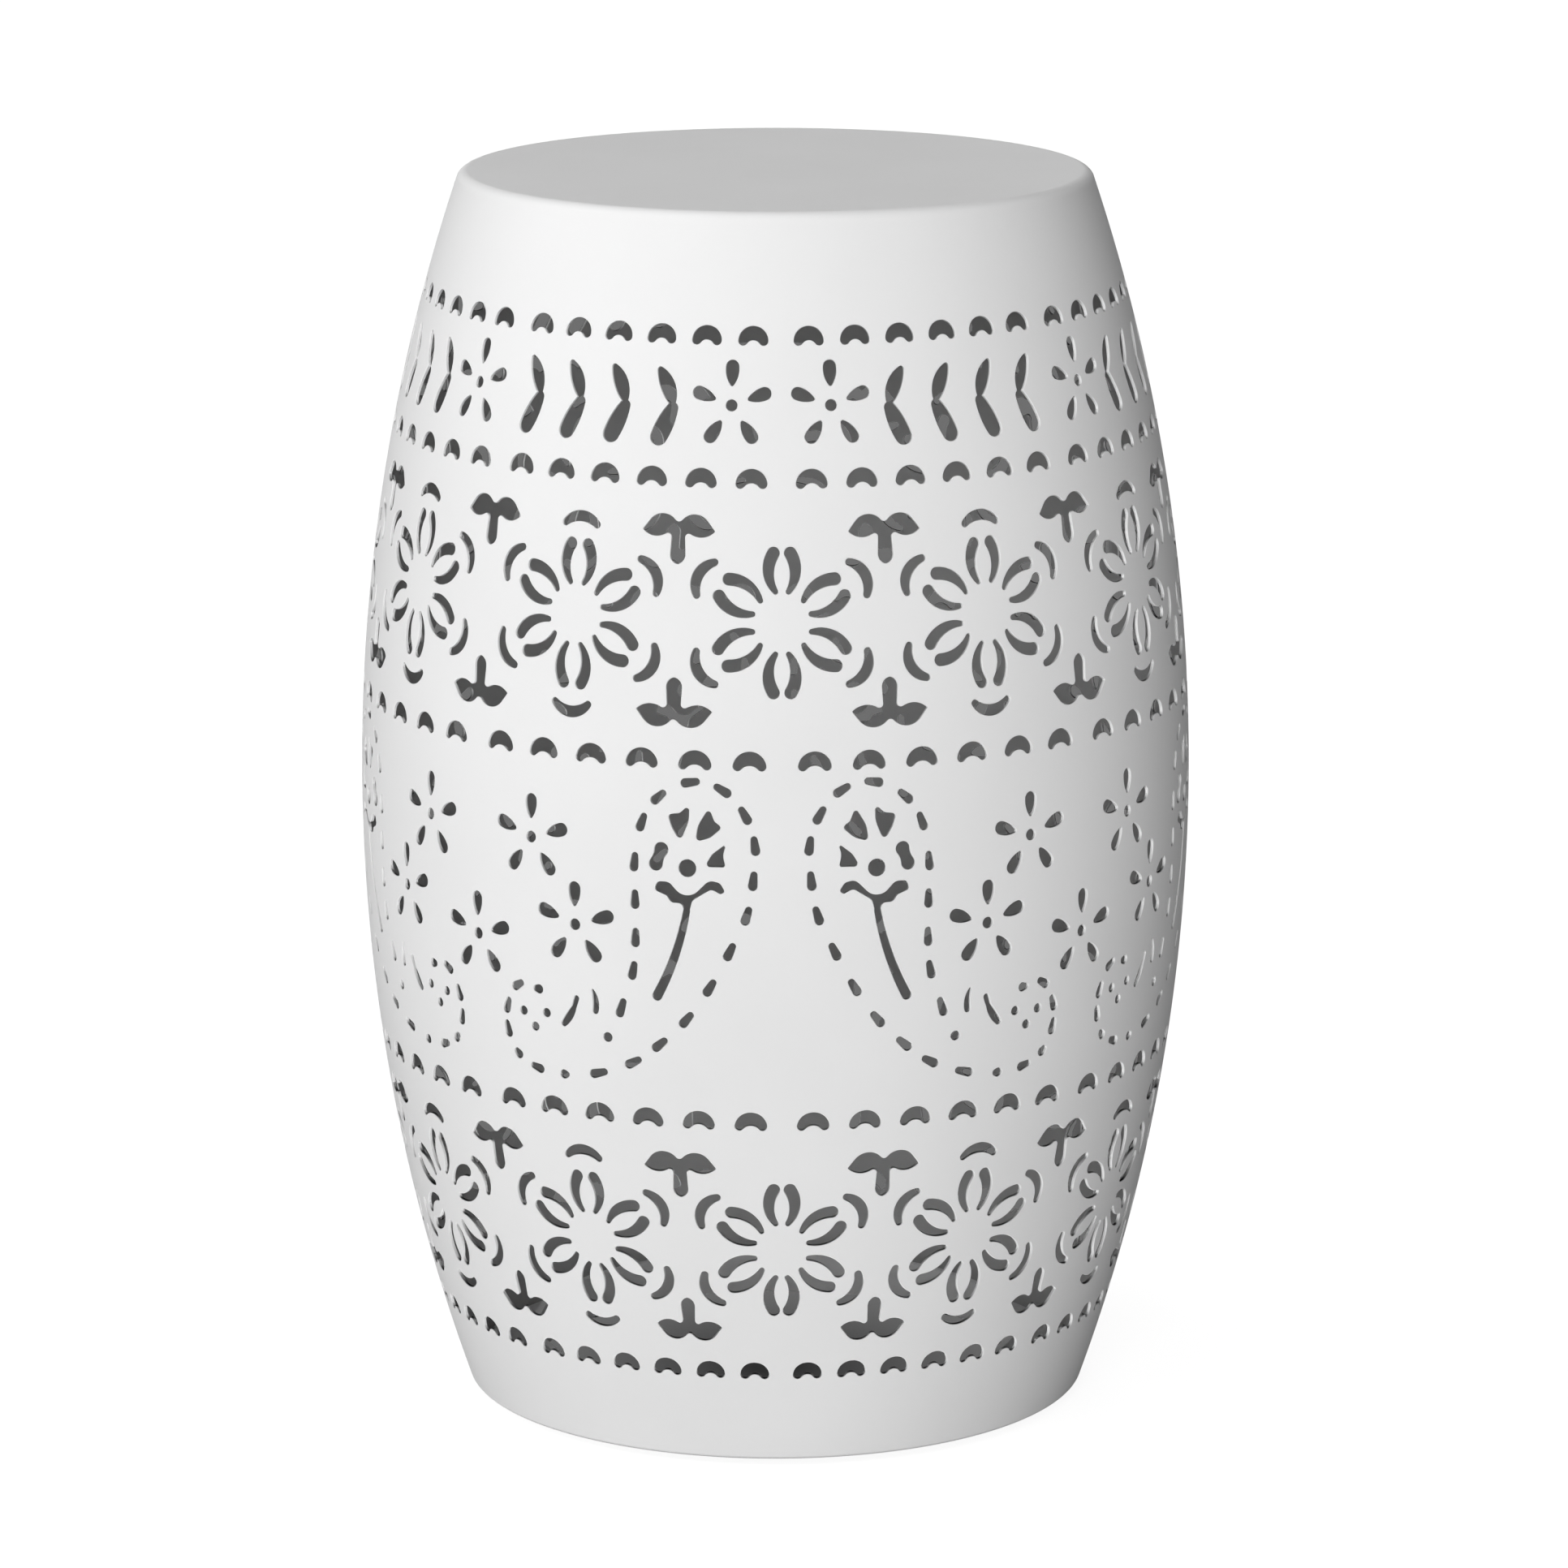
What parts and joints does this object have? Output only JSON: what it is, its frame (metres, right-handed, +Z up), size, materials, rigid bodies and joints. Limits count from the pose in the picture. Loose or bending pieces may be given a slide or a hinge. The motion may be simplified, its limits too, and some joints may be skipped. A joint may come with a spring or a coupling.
{
  "type": "metal drum stool",
  "caption": "Barrel-shaped stool of pierced sheet metal with a plain disc seat, crossed braces under it, an angle ring in its foot and rubber glides.",
  "frame": {"origin": "centre of the drum on the floor, under the glides", "axes": "+Z up along the drum's axis, -Y to the front, where two mirrored halves of the pattern meet"},
  "size_m": [0.303, 0.303, 0.452],
  "materials": {
    "powder_coat": "satin",
    "zinc_plate": "satin",
    "glide_rubber": "matte"
  },
  "bodies": {
    "root": {"drum_panel_front_right": "powder_coat", "drum_panel_front_left": "powder_coat", "drum_panel_rear_left": "powder_coat", "drum_panel_rear_right": "powder_coat", "seat_plate": "powder_coat", "seat_brace_lower": "powder_coat", "seat_brace_upper": "powder_coat", "base_ring": "powder_coat", "glide_front_right": "glide_rubber", "glide_front_left": "glide_rubber", "glide_rear_left": "glide_rubber", "glide_rear_right": "glide_rubber", "glide_screws": "zinc_plate", "glide_washers": "zinc_plate", "glide_nuts": "zinc_plate"}
  },
  "joints": []
}
